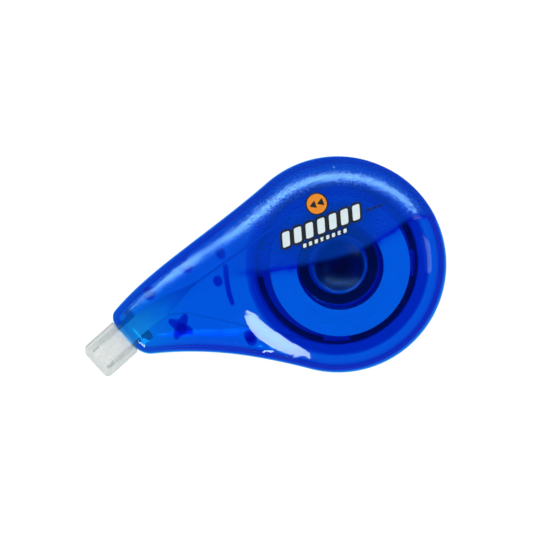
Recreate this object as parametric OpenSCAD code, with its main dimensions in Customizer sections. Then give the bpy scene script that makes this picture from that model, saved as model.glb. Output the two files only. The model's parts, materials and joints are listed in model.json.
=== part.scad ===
// Correction tape roller: a teardrop casing in two halves around two coaxial
// reels with a slip clutch, an applicator head in the nose and a pull-off cap.
// It lies on its flat back at z = 0. The reel axis is the Z axis and the nose
// points towards -X. All sizes are in millimetres.

/* [Casing] */
// Radius of the round reel housing
housing_r = 24; // [24:0.1:25]
// Thickness of the casing, back face to front face
casing_t = 16; // [16:0.1:16.5]
// Wall thickness
wall = 1.4; // [1.3:0.1:1.5]
// Half thickness of the neck where it meets the reel housing
neck_root_half_t = 7; // [6.9:0.1:7.2]
// Half thickness of the neck at the nose
nose_half_t = 4.5; // [4.4:0.1:5]
// Width of the nose
nose_w = 10.8; // [10.6:0.1:12]
// Depth of the round dish in the front face
dish_depth = 2.2; // [1.6:0.1:2.2]

/* [Tape] */
// Width of the tape
tape_w = 4.2; // [3.8:0.1:4.2]
// Outer radius of the supply roll, from nearly empty to full
supply_roll_r = 15.5; // [11:0.1:15.5]
// Outer radius of the spent tape on the take-up reel
takeup_roll_r = 18.1; // [17.9:0.05:18.3]

/* [Head and cap] */
// Angle of the head below the casing's long axis
head_angle = 21.5; // [20:0.5:23]
// Width of the applicator blade
blade_w = 6; // [5.6:0.1:6]
// Length of the blade outside the nose
blade_l = 7.8; // [7:0.1:7.8]
// Length of the cap
cap_l = 9; // [9:0.1:10]
// Width of the cap
cap_w = 8.2; // [8.2:0.1:8.6]
// Thickness of the cap
cap_t = 5.8; // [5.8:0.1:6]

/* [Hidden] */
$fn = 96;

blue = [0.02, 0.22, 0.72, 0.55];
dark_blue = [0.02, 0.10, 0.42];
clear = [0.92, 0.95, 0.98, 0.4];
white = [0.97, 0.97, 0.95];

// Half thickness of the casing is where its two halves meet
parting_z = casing_t / 2;

// Edge of the casing: a short upright band, then a quarter ellipse up to the flat face
edge_band_fraction = 0.31;
edge_r = 7;
edge_steps = 4;
rim_step_h = 0.8;
rim_clearance = 0.05;

// Flanks of the neck, as cubic curves that leave the round housing on its tangents
upper_flank_angle = 111;
lower_flank_angle = 235;
upper_flank_reach = 18;
lower_flank_reach = 14;
upper_flank_bulge = [-41, 13.3];
lower_flank_bulge = [-35.5, -6.4];
flank_stations = 10;
flank_end = 0.955;
arc_stations = 31;
narrow_edge_fraction = 0.6;
neck_taper_power = 2.5;
shoulder_from = 0.2;
shoulder_to = 0.45;
nose_round = 1.8;
nose_inner_round = 0.4;
nose_corner_steps = 3;

// Nose: middle of its mouth, and the head's outward and sideways directions
nose = [-50, 1.3];
out_angle = 180 + head_angle;
out_dir = [cos(out_angle), sin(out_angle)];
side_dir = [-sin(out_angle), cos(out_angle)];
mouth_w = 6.3;
mouth_t = 4.2;
mouth_cut_reach = 3;

// Levels of the reel stack, from the back face up
takeup_web_z = 1.8;
web_t = 0.8;
core_wall_z = 2.6;
core_wall_top = 7.2;
clutch_z = 7.25;
clutch_t = 0.7;
clutch_ring_z = 8;
clutch_ring_t = 0.85;
supply_web_z = 8.9;
supply_web_t = 0.6;
supply_core_top = 13.9;
sleeve_top = 10.6;
washer_z = 10.65;
washer_t = 0.55;
collar_z = 11.25;
collar_t = 0.8;
post_top = 12.2;

// Radii of the reel stack
post_r = 3;
post_bore_r = 1.9;
post_base_r = 5;
post_base_gap = 0.2;
pilot_r = 1.85;
pilot_foot_z = 3;
running_gap = 0.05;
cutter_h = 20;
shaft_r = 4.3;
shaft_end_r = 3.9;
takeup_web_r = 18.8;
core_wall_r = 17.7;
core_wall_t = 0.8;
core_gap_angle = 20;
core_gaps = [-20:90:250];
clutch_r = 20.6;
clutch_ring_inner_r = 6.7;
clutch_ring_outer_r = 8.9;
clutch_tab_h = 2;
clutch_tab_play = 4;
supply_web_r = 20;
supply_core_r = 9.6;
supply_core_t = 0.6;
sleeve_r = 5.3;
washer_r = 6.2;
collar_r = 5.5;

// Dish: a spherical hollow around the reel axis
dish_mouth_r = 6;
dish_sphere_r = (dish_mouth_r * dish_mouth_r + dish_depth * dish_depth) / (2 * dish_depth);
dish_wall = 1.2;

// Posts and pegs, as [x, y, distance from mid-plane at which they end inside the wall]
posts = [[-31.9, 11.3, 5.05], [-41.7, 8.5, 4.3], [-24, -8.7, 6.1]];
post_outer_r = 1.2;
post_socket_r = 0.6;
post_pin_r = 0.55;
post_pin_l = 1.6;
post_pin_root = 1;
post_joint_gap = 0.02;
post_socket_depth = 1.8;
star_boss = [-37.7, -1.2, 5.1];
star_core = 2.8;
star_gusset_reach = 2.9;
star_gusset_t = 0.8;
star_gusset_drop = 0.6;
tall_peg = [-23.8, 11.3, 6.8];
short_peg = [-26.5, 6.1, 6.5];
peg_r = 1;
tall_peg_rise = 4.4;
part_gap = 0.2;
rib_r = 25.2;
rib_t = 1;
rib_from = 160.4;
rib_to = 178.6;
rib_h = 6.5;

// Tape: modelled thickness and the gaps that keep it clear of what it runs past
tape_t = 0.12;
tape_gap = 0.05;
roll_gap = 0.2;
supply_roll_lift = 0.1;
takeup_roll_lift = 0.2;

// Applicator head, measured outwards from the nose's mouth
head_root_l = 4.6;
head_root_half_t = 1.2;
blade_tip_half_t = 0.25;
lug_w = 8;
lug_t = 5;
lug_from = -4.6;
lug_to = -3.2;
guide_l = 5;
guide_root_l = 1.6;
guide_w = 0.6;
guide_half_t = 1.65;
cap_wall = 0.85;
cap_gap = 0.1;
cap_corner_r = 1.3;
cap_window = 1.7;
cap_window_at = 6.5;
cap_window_side = 1.93;

function polar(r, a) = [r * cos(a), r * sin(a)];
function bezier(p, t) = pow(1 - t, 3) * p[0] + 3 * pow(1 - t, 2) * t * p[1]
    + 3 * (1 - t) * t * t * p[2] + pow(t, 3) * p[3];
function mix(a, b, f) = a + (b - a) * f;
function clamp01(f) = min(1, max(0, f));
function ease(f) = clamp01(f) * clamp01(f) * (3 - 2 * clamp01(f));

upper_flank = [polar(housing_r, upper_flank_angle),
    polar(housing_r, upper_flank_angle)
        + upper_flank_reach * [-sin(upper_flank_angle), cos(upper_flank_angle)],
    upper_flank_bulge,
    nose - side_dir * nose_w / 2];
lower_flank = [polar(housing_r, lower_flank_angle),
    polar(housing_r, lower_flank_angle)
        + lower_flank_reach * [sin(lower_flank_angle), -cos(lower_flank_angle)],
    lower_flank_bulge,
    nose + side_dir * nose_w / 2];

// Half thickness of the neck at t, 0 at the housing and 1 at the nose
function neck_half_t(t) = mix(neck_root_half_t, nose_half_t, pow(t, neck_taper_power))
    + (parting_z - neck_root_half_t)
        * (1 - ease((t - shoulder_from) / (shoulder_to - shoulder_from)));

// Outline stations of a skin that is set in by inset. Each station is [point on the
// outline, point where the flat top begins, half thickness there].
function flank_t(k) = flank_end * k / (flank_stations - 1);
function flank_station(flank, partner, t, inset) =
    let (chord = bezier(partner, t) - bezier(flank, t),
         toward = chord / norm(chord),
         reach = min(edge_r, narrow_edge_fraction * norm(chord) / 2))
    [bezier(flank, t) + toward * inset, bezier(flank, t) + toward * reach,
     neck_half_t(t) - inset];
function head_point(u, v) = nose + u * out_dir + v * side_dir;
function corner_station(end, side, q, inset, top) =
    let (from_nose = end - nose,
         corner_r = max(nose_round - inset, nose_inner_round))
    [head_point(mix(from_nose * out_dir, -inset, sin(q)),
                from_nose * side_dir - side * corner_r * (1 - cos(q))),
     top, neck_half_t(flank_end) - inset];
function nose_stations(upper, lower, inset) =
    let (n = 2 * nose_corner_steps)
    [for (k = [1:n])
        let (is_upper = k <= nose_corner_steps,
             q = 90 * (is_upper ? k : n + 1 - k) / nose_corner_steps)
        corner_station(is_upper ? upper[0] : lower[0], is_upper ? -1 : 1, q, inset,
                       mix(upper[1], lower[1], k / (n + 1)))];
function arc_station(a, inset) =
    [polar(housing_r - inset, a), polar(housing_r - edge_r, a), parting_z - inset];
function stations(inset) =
    let (upper = [for (k = [0:flank_stations - 1])
             flank_station(upper_flank, lower_flank, flank_t(k), inset)],
         lower = [for (k = [flank_stations - 1:-1:0])
             flank_station(lower_flank, upper_flank, flank_t(k), inset)],
         from = lower_flank_angle - 360,
         step = (upper_flank_angle - from) / (arc_stations + 1))
    concat(upper, nose_stations(upper[flank_stations - 1], lower[0], inset), lower,
           [for (k = [1:arc_stations]) arc_station(from + step * k, inset)]);

// The flat top is closed towards a spine: the reel axis, then the neck's middle line
function spine(inset) = concat([[0, 0, parting_z - inset]],
    [for (k = [0:flank_stations - 1])
        let (t = flank_t(k), middle = (bezier(upper_flank, t) + bezier(lower_flank, t)) / 2)
        [middle[0], middle[1], neck_half_t(t) - inset]]);
function spine_index(i) =
    let (nose_n = 2 * nose_corner_steps)
    i < flank_stations ? i + 1
    : i < flank_stations + nose_n ? flank_stations
    : i < 2 * flank_stations + nose_n ? 2 * flank_stations + nose_n - i
    : 0;

// Ring of a skin at edge angle a: 90 where the flat top begins, 0 on the outline
function edge_ring(skin, a) = [for (s = skin)
    let (p = mix(s[0], s[1], 1 - cos(a)),
         band = edge_band_fraction * s[2])
    [p[0], p[1], band + (s[2] - band) * sin(a)]];
function rim_ring(outer, inner, f, h) = [for (i = [0:len(outer) - 1])
    let (p = mix(outer[i][0], inner[i][0], f)) [p[0], p[1], h]];

// Half of the hollow casing above the parting plane. Its rim has a step: step_h is
// the height of the inner half of the rim, and step_f is where the step stands.
module casing_half(step_h, step_f) {
    outer = stations(0);
    inner = stations(wall);
    rings = concat(
        [for (k = [edge_steps:-1:0]) edge_ring(outer, 90 * k / edge_steps)],
        [rim_ring(outer, inner, 0, 0), rim_ring(outer, inner, step_f, 0),
         rim_ring(outer, inner, step_f, step_h), rim_ring(outer, inner, 1, step_h)],
        [for (k = [0:edge_steps]) edge_ring(inner, 90 * k / edge_steps)]);
    n = len(outer);
    ring_points = [for (ring = rings) each ring];
    top = len(ring_points);
    last = (len(rings) - 1) * n;
    walls = [for (r = [0:len(rings) - 2]) for (i = [0:n - 1])
        let (a = r * n + i, b = r * n + (i + 1) % n)
        each [[a, b, b + n], [a, b + n, a + n]]];
    outer_top = [for (i = [0:n - 1])
        let (a = i, b = (i + 1) % n,
             sa = top + spine_index(a), sb = top + spine_index(b))
        each (sa == sb ? [[b, a, sa]] : [[b, a, sa], [b, sa, sb]])];
    inner_top = [for (i = [0:n - 1])
        let (a = i, b = (i + 1) % n, under = top + flank_stations + 1,
             sa = under + spine_index(a), sb = under + spine_index(b))
        each (sa == sb ? [[last + a, last + b, sa]]
              : [[last + a, last + b, sa], [last + b, sb, sa]])];
    polyhedron(concat(ring_points, spine(0), spine(wall)),
               concat(walls, outer_top, inner_top));
}

// Closed skin through a list of rings with equally many points
module loft(rings) {
    n = len(rings[0]);
    last = (len(rings) - 1) * n;
    // Opposite sides are cut along the same diagonal, so a twisted strip keeps its thickness
    sides = [for (i = [0:len(rings) - 2]) for (j = [0:n - 1])
        let (a = i * n + j, b = i * n + (j + 1) % n)
        each j < n / 2
            ? [[a, b + n, b], [a, a + n, b + n]]
            : [[a, a + n, b], [b, a + n, b + n]]];
    caps = [[for (j = [0:n - 1]) j], [for (j = [n - 1:-1:0]) last + j]];
    polyhedron([for (ring = rings) each ring], concat(sides, caps));
}

// Places its children in the head's frame: X outwards from the mouth, Z from mid-plane
module at_head() {
    translate([nose[0], nose[1], parting_z])
        rotate([0, 0, out_angle])
            children();
}

module mouth_cut() {
    at_head()
        translate([-mouth_cut_reach, -mouth_w / 2, -mouth_t / 2])
            cube([2 * mouth_cut_reach, mouth_w, mouth_t]);
}

// Half shell in its place: side is 1 for the front half and -1 for the rear half
module half_shell(side) {
    clearance = side > 0 ? rim_clearance : 0;
    difference() {
        translate([0, 0, parting_z])
            mirror([0, 0, side > 0 ? 0 : 1])
                casing_half(side > 0 ? rim_step_h + clearance : -rim_step_h, 0.5 - clearance);
        mouth_cut();
    }
}

// Upright round post from inside the neck's wall to the given distance from mid-plane
module neck_post(at, r, side, end = 0) {
    translate([at[0], at[1], side > 0 ? parting_z + end : parting_z - at[2]])
        cylinder(r = r, h = at[2] - end);
}

module front_shell() {
    rib_z = parting_z + part_gap;
    color(blue)
    difference() {
        union() {
            half_shell(1);
            // Underside of the dish, and the pilot that enters the rear shell's post
            intersection() {
                translate([0, 0, casing_t - dish_depth + dish_sphere_r])
                    sphere(r = dish_sphere_r + dish_wall);
                translate([0, 0, parting_z])
                    cylinder(r = dish_mouth_r + dish_wall, h = parting_z - wall / 2);
            }
            translate([0, 0, pilot_foot_z])
                cylinder(r = pilot_r, h = casing_t - dish_depth - dish_wall / 2 - pilot_foot_z);
            for (at = concat(posts, [star_boss])) {
                neck_post(at, post_outer_r, 1, post_joint_gap);
                translate([at[0], at[1], parting_z - post_pin_l])
                    cylinder(r = post_pin_r, h = post_pin_l + post_pin_root);
            }
            neck_post(short_peg, peg_r, 1, part_gap);
            // Arc rib that the tape slides on as the roll empties
            rotate([0, 0, rib_from])
                rotate_extrude(angle = rib_to - rib_from)
                    translate([rib_r - rib_t / 2, rib_z])
                        square([rib_t, rib_h]);
        }
        translate([0, 0, casing_t - dish_depth + dish_sphere_r])
            sphere(r = dish_sphere_r);
    }
}

module rear_shell() {
    color(blue)
    difference() {
        union() {
            half_shell(-1);
            // Fixed post that both reels turn on
            translate([0, 0, wall / 2])
                cylinder(r = post_r, h = post_top - wall / 2);
            translate([0, 0, wall / 2])
                cylinder(r = post_base_r, h = takeup_web_z - post_base_gap - wall / 2);
            for (at = posts)
                neck_post(at, post_outer_r, -1);
            neck_post(tall_peg, peg_r, -1, -tall_peg_rise);
            // Star boss: a square core with four gussets
            translate([star_boss[0], star_boss[1], parting_z - star_boss[2]]) {
                translate([-star_core / 2, -star_core / 2, 0])
                    cube([star_core, star_core, star_boss[2]]);
                for (a = [45:90:315])
                    rotate([0, 0, a])
                        translate([0, -star_gusset_t / 2, 0])
                            cube([star_gusset_reach, star_gusset_t,
                                  star_boss[2] - star_gusset_drop]);
            }
        }
        translate([0, 0, wall])
            cylinder(r = post_bore_r, h = post_top);
        for (at = concat(posts, [star_boss]))
            translate([at[0], at[1], parting_z - post_socket_depth])
                cylinder(r = post_socket_r, h = 2 * post_socket_depth);
    }
}

// Blade outline in its side view, from the root to the rounded tip
module blade() {
    tip_l = blade_l - blade_tip_half_t;
    translate([0, blade_w / 2, 0])
        rotate([90, 0, 0])
            linear_extrude(blade_w) {
                polygon([[-head_root_l, -head_root_half_t], [0, -head_root_half_t],
                    [tip_l, -blade_tip_half_t], [tip_l, blade_tip_half_t],
                    [0, head_root_half_t], [-head_root_l, head_root_half_t]]);
                translate([tip_l, 0])
                    circle(r = blade_tip_half_t);
            }
}

module applicator_head() {
    color(clear)
    at_head() {
        blade();
        for (side = [-1, 1]) {
            // Guide rails that keep the tape on the blade
            translate([-guide_root_l, side * (blade_w - guide_w) / 2 - guide_w / 2, -guide_half_t])
                cube([guide_l + guide_root_l, guide_w, 2 * guide_half_t]);
            // Lugs that the two shells clamp behind the nose
            translate([lug_from, side > 0 ? blade_w / 2 - guide_w : -lug_w / 2, -lug_t / 2])
                cube([lug_to - lug_from, lug_w / 2 - blade_w / 2 + guide_w, lug_t]);
        }
    }
}

module head_cap() {
    inner_l = cap_l - cap_gap - cap_wall;
    color(clear)
    at_head()
    difference() {
        linear_extrude(cap_t, center = true)
            union() {
                translate([cap_gap, -cap_w / 2])
                    square([cap_l - cap_gap - cap_corner_r, cap_w]);
                for (side = [-1, 1])
                    translate([cap_l - cap_corner_r, side * (cap_w / 2 - cap_corner_r)])
                        circle(r = cap_corner_r);
                translate([cap_gap, cap_corner_r - cap_w / 2])
                    square([cap_l - cap_gap, cap_w - 2 * cap_corner_r]);
            }
        translate([-1, cap_wall - cap_w / 2, cap_wall - cap_t / 2])
            cube([1 + cap_gap + inner_l, cap_w - 2 * cap_wall, cap_t - 2 * cap_wall]);
        for (side = [-1, 1])
            translate([cap_window_at - cap_window / 2,
                       side * cap_window_side - cap_window / 2, -cap_t])
                cube([cap_window, cap_window, 2 * cap_t]);
    }
}

// A station of the tape is [centre, direction of travel in plan, twist];
// twist is 0 with the tape lying flat and 90 with it standing on edge.
function tape_ring(station) =
    let (travel = station[1],
         side = [travel[1], -travel[0], 0],
         w = cos(station[2]) * side + [0, 0, sin(station[2])],
         n = cross(w, [travel[0], travel[1], 0]),
         half_w = w * tape_w / 2,
         half_n = n * tape_t / 2)
    [station[0] + half_w + half_n, station[0] - half_w + half_n,
     station[0] - half_w - half_n, station[0] + half_w - half_n];

// Places on the blade: level 1 is its front face and -1 its back face
blade_offset = tape_gap + tape_t / 2;
inside_u = -5.8;
function blade_half_t(u) = mix(head_root_half_t, blade_tip_half_t, clamp01(u / blade_l));
function blade_point(u, level) =
    [nose[0] + u * out_dir[0], nose[1] + u * out_dir[1],
     parting_z + level * (blade_half_t(u) + blade_offset)];
blade_run = [for (i = [0:4]) mix(blade_l - blade_tip_half_t, 0, i / 4)];
inside = nose + inside_u * out_dir;

// Direction from a point to where a line from it touches a circle about the origin
function tangent_angle(p, r, side) = atan2(-p[1], -p[0]) + side * asin(r / norm(p));
function tangent_length(p, r) = sqrt(norm(p) * norm(p) - r * r);

feed_r = supply_roll_r + roll_gap;
feed_angle = tangent_angle(inside, feed_r, 1);
feed_dir = polar(1, feed_angle);
feed_l = tangent_length(inside, feed_r);
feed_level = supply_web_z + supply_web_t + supply_roll_lift + tape_w / 2 - parting_z;
feed_rise_end = 0.68;
feed_twist_end = 0.36;
feed_steps = 22;

function inner_station(start, dir, l, f, z, twist) =
    [[start[0] + dir[0] * l * f, start[1] + dir[1] * l * f, parting_z + z], dir, twist];

module tape_feed_run() {
    start_z = head_root_half_t + blade_offset;
    tip = nose + (blade_l - blade_tip_half_t) * out_dir;
    wrap_r = blade_tip_half_t + blade_offset;
    // Half turn round the blade's tip, written as rings about the tip's centre
    wrap = [for (a = [-90:22.5:67.5])
        let (centre = [tip[0], tip[1], parting_z]
                 + wrap_r * [out_dir[0] * cos(a), out_dir[1] * cos(a), sin(a)],
             n = [out_dir[0] * cos(a), out_dir[1] * cos(a), sin(a)] * tape_t / 2,
             w = [side_dir[0], side_dir[1], 0] * tape_w / 2)
        [centre + w + n, centre - w + n, centre - w - n, centre + w - n]];
    on_blade = [for (u = blade_run) tape_ring([blade_point(u, 1), -out_dir, 0])];
    in_neck = [for (i = [0:feed_steps])
        let (f = i / feed_steps)
        tape_ring(inner_station(inside, feed_dir, feed_l, f,
            mix(start_z, feed_level, ease(f / feed_rise_end)),
            90 * ease(f / feed_twist_end)))];
    color(white) loft(concat(wrap, on_blade, in_neck));
}

return_r = takeup_roll_r + roll_gap;
return_bend = [-35.4, 1.25];
return_level = parting_z - (core_wall_z + takeup_roll_lift + tape_w / 2);
return_mid_level = 2.7;
bend_vector = return_bend - inside;
bend_l = norm(bend_vector);
return_angle = tangent_angle(return_bend, return_r, -1);
return_l = tangent_length(return_bend, return_r);
return_twist_end = 0.6;
return_drop_end = 0.5;
return_steps = 10;

module tape_return_run() {
    start_z = head_root_half_t + blade_offset;
    on_blade = [for (u = blade_run) tape_ring([blade_point(u, -1), -out_dir, 0])];
    to_bend = [for (i = [0:return_steps])
        let (f = i / return_steps)
        tape_ring(inner_station(inside, bend_vector / bend_l, bend_l, f,
            -mix(start_z, return_mid_level, ease(f)),
            90 * ease(f / return_twist_end)))];
    to_reel = [for (i = [1:return_steps])
        let (f = i / return_steps)
        tape_ring(inner_station(return_bend, polar(1, return_angle), return_l, f,
            -mix(return_mid_level, return_level, ease(f / return_drop_end)), 90))];
    color(clear) loft(concat(on_blade, to_bend, to_reel));
}

// Flat ring between two radii and two levels
module ring(inner_r, outer_r, z, h) {
    translate([0, 0, z])
        difference() {
            cylinder(r = outer_r, h = h);
            translate([0, 0, -1])
                cylinder(r = inner_r, h = h + 2);
        }
}

module supply_reel() {
    bore = shaft_r + running_gap;
    color(dark_blue) {
        difference() {
            union() {
                translate([0, 0, supply_web_z])
                    cylinder(r = supply_web_r, h = supply_web_t);
                translate([0, 0, supply_web_z])
                    cylinder(r = sleeve_r, h = sleeve_top - supply_web_z);
                translate([0, 0, supply_web_z])
                    cylinder(r = supply_core_r, h = supply_core_top - supply_web_z);
            }
            translate([0, 0, supply_web_z - 1])
                cylinder(r = bore, h = cutter_h);
            // Annular well between the sleeve and the core
            difference() {
                translate([0, 0, supply_web_z + supply_web_t])
                    cylinder(r = supply_core_r - supply_core_t, h = cutter_h);
                translate([0, 0, supply_web_z])
                    cylinder(r = sleeve_r, h = sleeve_top - supply_web_z);
            }
        }
    }
}

module supply_tape_roll() {
    color(white)
        ring(supply_core_r + running_gap, supply_roll_r,
             supply_web_z + supply_web_t + supply_roll_lift, tape_w);
}

module takeup_reel() {
    color(dark_blue)
    difference() {
        union() {
            translate([0, 0, takeup_web_z])
                cylinder(r = takeup_web_r, h = web_t);
            translate([0, 0, takeup_web_z])
                cylinder(r = shaft_r, h = collar_z - takeup_web_z);
            translate([0, 0, takeup_web_z])
                cylinder(r = shaft_end_r, h = collar_z + collar_t - takeup_web_z);
            for (a = core_gaps)
                rotate([0, 0, a + core_gap_angle / 2])
                    rotate_extrude(angle = 90 - core_gap_angle)
                        translate([core_wall_r - core_wall_t, takeup_web_z + web_t / 2])
                            square([core_wall_t, core_wall_top - takeup_web_z - web_t / 2]);
        }
        translate([0, 0, takeup_web_z - 1])
            cylinder(r = post_r + running_gap, h = cutter_h);
    }
}

module takeup_tape_roll() {
    color(white)
        ring(core_wall_r + running_gap, takeup_roll_r, core_wall_z + takeup_roll_lift, tape_w);
}

module clutch_disc() {
    tab_angle = core_gap_angle - clutch_tab_play;
    tab_foot = core_wall_top - clutch_tab_h;
    color(dark_blue)
    difference() {
        union() {
            translate([0, 0, clutch_z])
                cylinder(r = clutch_r, h = clutch_t);
            // Tabs that drop into the gaps of the take-up core and drive it
            for (a = core_gaps)
                rotate([0, 0, a - tab_angle / 2])
                    rotate_extrude(angle = tab_angle)
                        translate([core_wall_r - core_wall_t, tab_foot])
                            square([core_wall_t, clutch_z + clutch_t / 2 - tab_foot]);
        }
        translate([0, 0, clutch_z - 1])
            cylinder(r = shaft_r + running_gap, h = cutter_h);
    }
}

// Flat rubber friction ring between the clutch disc and the supply reel
module clutch_ring() {
    color([0.08, 0.08, 0.09])
        ring(clutch_ring_inner_r, clutch_ring_outer_r, clutch_ring_z, clutch_ring_t);
}

module thrust_washer() {
    color(white)
        ring(shaft_r + running_gap, washer_r, washer_z, washer_t);
}

module retaining_collar() {
    color(dark_blue)
        ring(shaft_end_r, collar_r, collar_z, collar_t);
}

front_shell();
rear_shell();
applicator_head();
tape_feed_run();
tape_return_run();
supply_reel();
supply_tape_roll();
takeup_reel();
takeup_tape_roll();
clutch_disc();
clutch_ring();
thrust_washer();
retaining_collar();
head_cap();
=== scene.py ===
import json
import math

import bmesh
import bpy
import numpy as np
from mathutils import Matrix, Vector
from mathutils.geometry import delaunay_2d_cdt
from mathutils.kdtree import KDTree


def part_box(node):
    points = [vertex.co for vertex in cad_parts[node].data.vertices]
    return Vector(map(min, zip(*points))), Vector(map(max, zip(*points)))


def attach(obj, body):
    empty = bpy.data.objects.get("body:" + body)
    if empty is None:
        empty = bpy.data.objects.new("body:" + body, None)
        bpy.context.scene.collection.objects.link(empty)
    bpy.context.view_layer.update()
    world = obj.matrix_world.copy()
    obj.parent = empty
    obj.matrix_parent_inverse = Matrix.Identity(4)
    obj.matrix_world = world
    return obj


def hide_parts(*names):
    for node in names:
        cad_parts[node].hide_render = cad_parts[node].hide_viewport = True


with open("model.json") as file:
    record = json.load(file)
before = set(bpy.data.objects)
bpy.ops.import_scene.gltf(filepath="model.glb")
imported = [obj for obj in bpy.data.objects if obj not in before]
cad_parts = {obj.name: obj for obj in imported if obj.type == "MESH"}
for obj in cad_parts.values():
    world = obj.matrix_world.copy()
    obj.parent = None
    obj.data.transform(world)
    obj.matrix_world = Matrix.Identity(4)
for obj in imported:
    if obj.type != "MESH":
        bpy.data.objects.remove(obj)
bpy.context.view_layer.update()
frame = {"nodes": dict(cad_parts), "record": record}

# The looks of a correction tape roller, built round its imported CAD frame. Lengths
# are in millimetres in this script, and become metres where a mesh is made.
MM = 0.001


def box_mm(node):
    """Lowest and highest corner of a CAD node, in millimetres."""
    low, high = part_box(node)
    return np.array(low) / MM, np.array(high) / MM


# ---------------------------------------------------------------- driving sizes

HOUSING_R = box_mm("front_shell")[1][0]
CASING_T = box_mm("front_shell")[1][2]
PARTING_Z = CASING_T / 2
WALL = 1.4
JOINTS = {joint["name"]: joint for joint in frame["record"]["behaviour"]["joints"]}
OUT_DIR = np.array(JOINTS["cap_slide"]["axis"][:2])
SIDE_DIR = np.array([-OUT_DIR[1], OUT_DIR[0]])
NOSE = np.array([-50.0, 1.3])
NOSE_W = 10.8
MOUTH_W = 6.3
MOUTH_T = 4.2

# Flanks of the neck: cubic curves that leave the round housing on its tangents
UPPER_ANGLE = 111
LOWER_ANGLE = 235
UPPER_REACH = 18
LOWER_REACH = 14
UPPER_BULGE = np.array([-41, 13.3])
LOWER_BULGE = np.array([-35.5, -6.4])
NECK_ROOT_HALF_T = 7
NOSE_HALF_T = 4.5
NECK_TAPER_POWER = 2.5
SHOULDER_FROM = 0.2
SHOULDER_L = 0.25

# Edge of the casing: an upright band, then a quarter ellipse up to the flat face
EDGE_R = 7
NOSE_EDGE = 2.2
NOSE_CORNER_POWER = 2.6
BAND = 0.31
NARROW = 0.6

# Points along a ring of the skin, and how far apart the points of its filled middle are
FLANK_POINTS = 56
CORNER_POINTS = 12
FRONT_POINTS = 6
ARC_POINTS = 130
OUTER_SPACING = 0.62
INNER_SPACING = 1.3

# Stepped rim where the halves meet: its step stands at a share of the wall
PARTING_GAP = 0.012
RIM_BEVEL = 0.13
FRONT_STEP_AT = 0.45
REAR_STEP_AT = 0.5
FRONT_STEP_Z = 0.85
REAR_STEP_Z = 0.8

# Front face: the step between its frosted and glossy zones, and the hollow of the
# neck that lets the round housing stand up as a sloped rim on the lower side
ZONE_STEP = 0.25
ZONE_STEP_W = 1.45
ZONE_SPREAD = 3.4
PRINT_T = 0.012
PRINT_LAYERS = 4
NECK_FROST = 0.55
RIM_SLOPE = 0.56
HOLLOW_L = 12
RIM_FROM = 184
RIM_TO = 250
STEP_EDGE = 1.7
STEP_EDGE_W = 1.6
SOFTEN = 0.3
THIN_WALL = 1.1
DISH_WALL = 1.2
DISH_REACH = 7.5
UNDER_DISH_REACH = 8
DISH_R = 6
DISH_DEPTH = 2.2
DISH_SPHERE_R = (DISH_R**2 + DISH_DEPTH**2) / (2 * DISH_DEPTH)


def polar(r, degrees):
    """Point or points at radius r and an angle in degrees."""
    angle = np.radians(degrees)
    return np.stack([r * np.cos(angle), r * np.sin(angle)], axis=-1)


def bezier(points, t):
    """Point or points of a cubic curve."""
    t = np.asarray(t, float)[..., None]
    a, b, c, d = points
    return (1 - t) ** 3 * a + 3 * (1 - t) ** 2 * t * b + 3 * (1 - t) * t * t * c + t**3 * d


def ease(f):
    """Smooth step from 0 to 1."""
    f = np.clip(f, 0, 1)
    return f * f * (3 - 2 * f)


def mix(a, b, f):
    return a + (b - a) * f


UPPER_ROOT = polar(HOUSING_R, UPPER_ANGLE)
LOWER_ROOT = polar(HOUSING_R, LOWER_ANGLE)
UPPER = [UPPER_ROOT, UPPER_ROOT + UPPER_REACH * polar(1, UPPER_ANGLE + 90), UPPER_BULGE,
         NOSE - SIDE_DIR * NOSE_W / 2]
LOWER = [LOWER_ROOT, LOWER_ROOT + LOWER_REACH * polar(1, LOWER_ANGLE - 90), LOWER_BULGE,
         NOSE + SIDE_DIR * NOSE_W / 2]


def curve(points, x):
    """Height at x of a smooth curve through points that are in order of x."""
    px, py = np.array(points, float).T
    slope = np.gradient(py, px)
    i = np.clip(np.searchsorted(px, x) - 1, 0, len(px) - 2)
    w = px[i + 1] - px[i]
    f = np.clip((x - px[i]) / w, 0, 1)
    rise = (py[i + 1] - py[i]) * ease(f)
    return py[i] + rise + f * (1 - f) * w * ((1 - f) * slope[i] - f * slope[i + 1])


def zone_line(x):
    """Edge of the frosted zone of the front face: the zone lies above this line."""
    return curve([(-54, 5.2), (-42, 6.6), (-29, 9.0), (-18, 6.3), (-7, 4.1), (3, 2.8), (12, 4.1),
                  (19, 5.5), (25, 3.0)], x)


# ------------------------------------------------------------- casing as a surface


def cross2(a, b):
    return a[..., 0] * b[..., 1] - a[..., 1] * b[..., 0]


def neck_param(points):
    """How far along the neck points lie: 0 in the housing, 1 at the nose."""
    low = np.zeros(len(points))
    high = np.full(len(points), 1.1)
    for _ in range(36):
        middle = (low + high) / 2
        top = bezier(UPPER, middle)
        past = cross2(bezier(LOWER, middle) - top, points - top) < 0
        low = np.where(past, middle, low)
        high = np.where(past, high, middle)
    return low


def neck_half_t(t):
    """Half thickness of the neck."""
    shoulder = (PARTING_Z - NECK_ROOT_HALF_T) * (1 - ease((t - SHOULDER_FROM) / SHOULDER_L))
    return mix(NECK_ROOT_HALF_T, NOSE_HALF_T, t**NECK_TAPER_POWER) + shoulder


def edge_reach(t):
    """How far in from the outline the rounded edge reaches, narrowing along the neck."""
    half_w = np.linalg.norm(bezier(UPPER, t) - bezier(LOWER, t), axis=-1) / 2
    return (EDGE_R**-6.0 + (NARROW * half_w) ** -6.0) ** (-1 / 6)


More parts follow.
